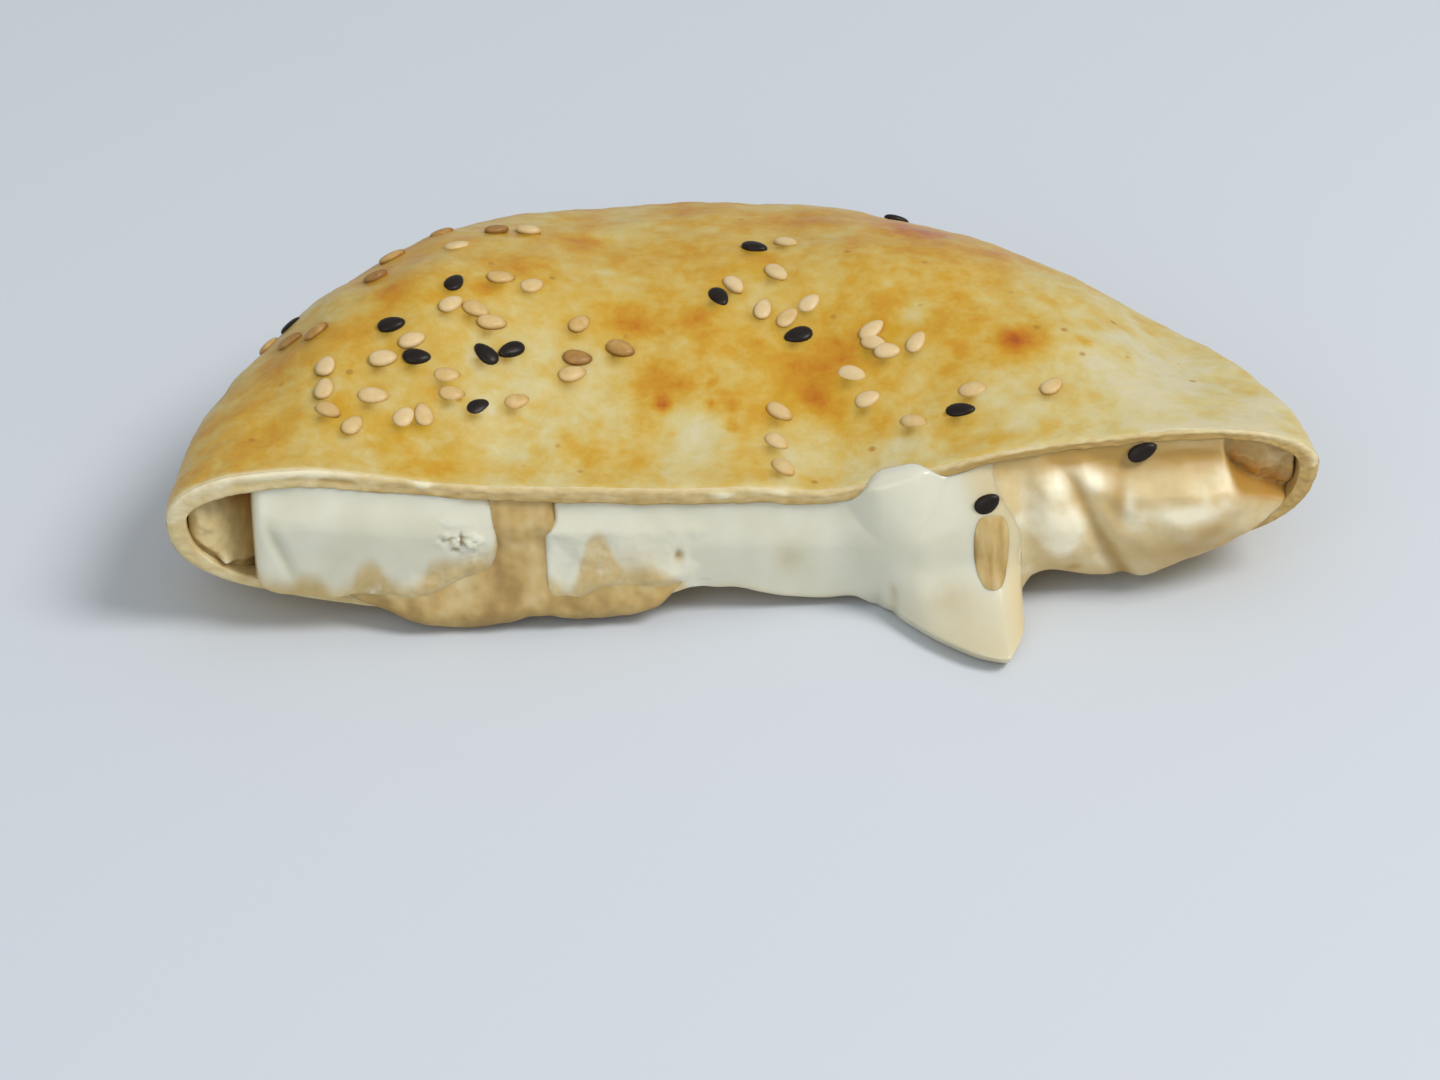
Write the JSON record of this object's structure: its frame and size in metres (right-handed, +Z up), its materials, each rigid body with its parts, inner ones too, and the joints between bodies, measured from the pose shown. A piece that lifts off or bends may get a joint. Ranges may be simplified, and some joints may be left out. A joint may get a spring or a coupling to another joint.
{
  "type": "cheese pie",
  "caption": "Half of a round stuffed cheese pie as cut: a golden seeded dough pocket with white cheese and tan cream, melted cheese running out of the cut.",
  "frame": {"origin": "centre of the flat base, on the surface that the half pie lies on", "axes": "+X along the cut to the right as seen from in front of the cut, -Y out of the cut, +Z up"},
  "size_m": [0.1198, 0.0755, 0.0258],
  "materials": {
    "baked_dough": "egg-washed baked dough, golden with browner patches, satin",
    "white_cheese": "soft white cheese, moist",
    "tan_cream": "tan sesame cream, moist",
    "glossy_cream": "melted cheese and cream, wet gloss"
  },
  "bodies": {
    "root": {"crust": "baked_dough", "cheese_slab": "white_cheese", "melted_cheese": "white_cheese", "cream_filling": "tan_cream", "cream_drop": "tan_cream", "stretched_cream": "glossy_cream"}
  },
  "joints": []
}
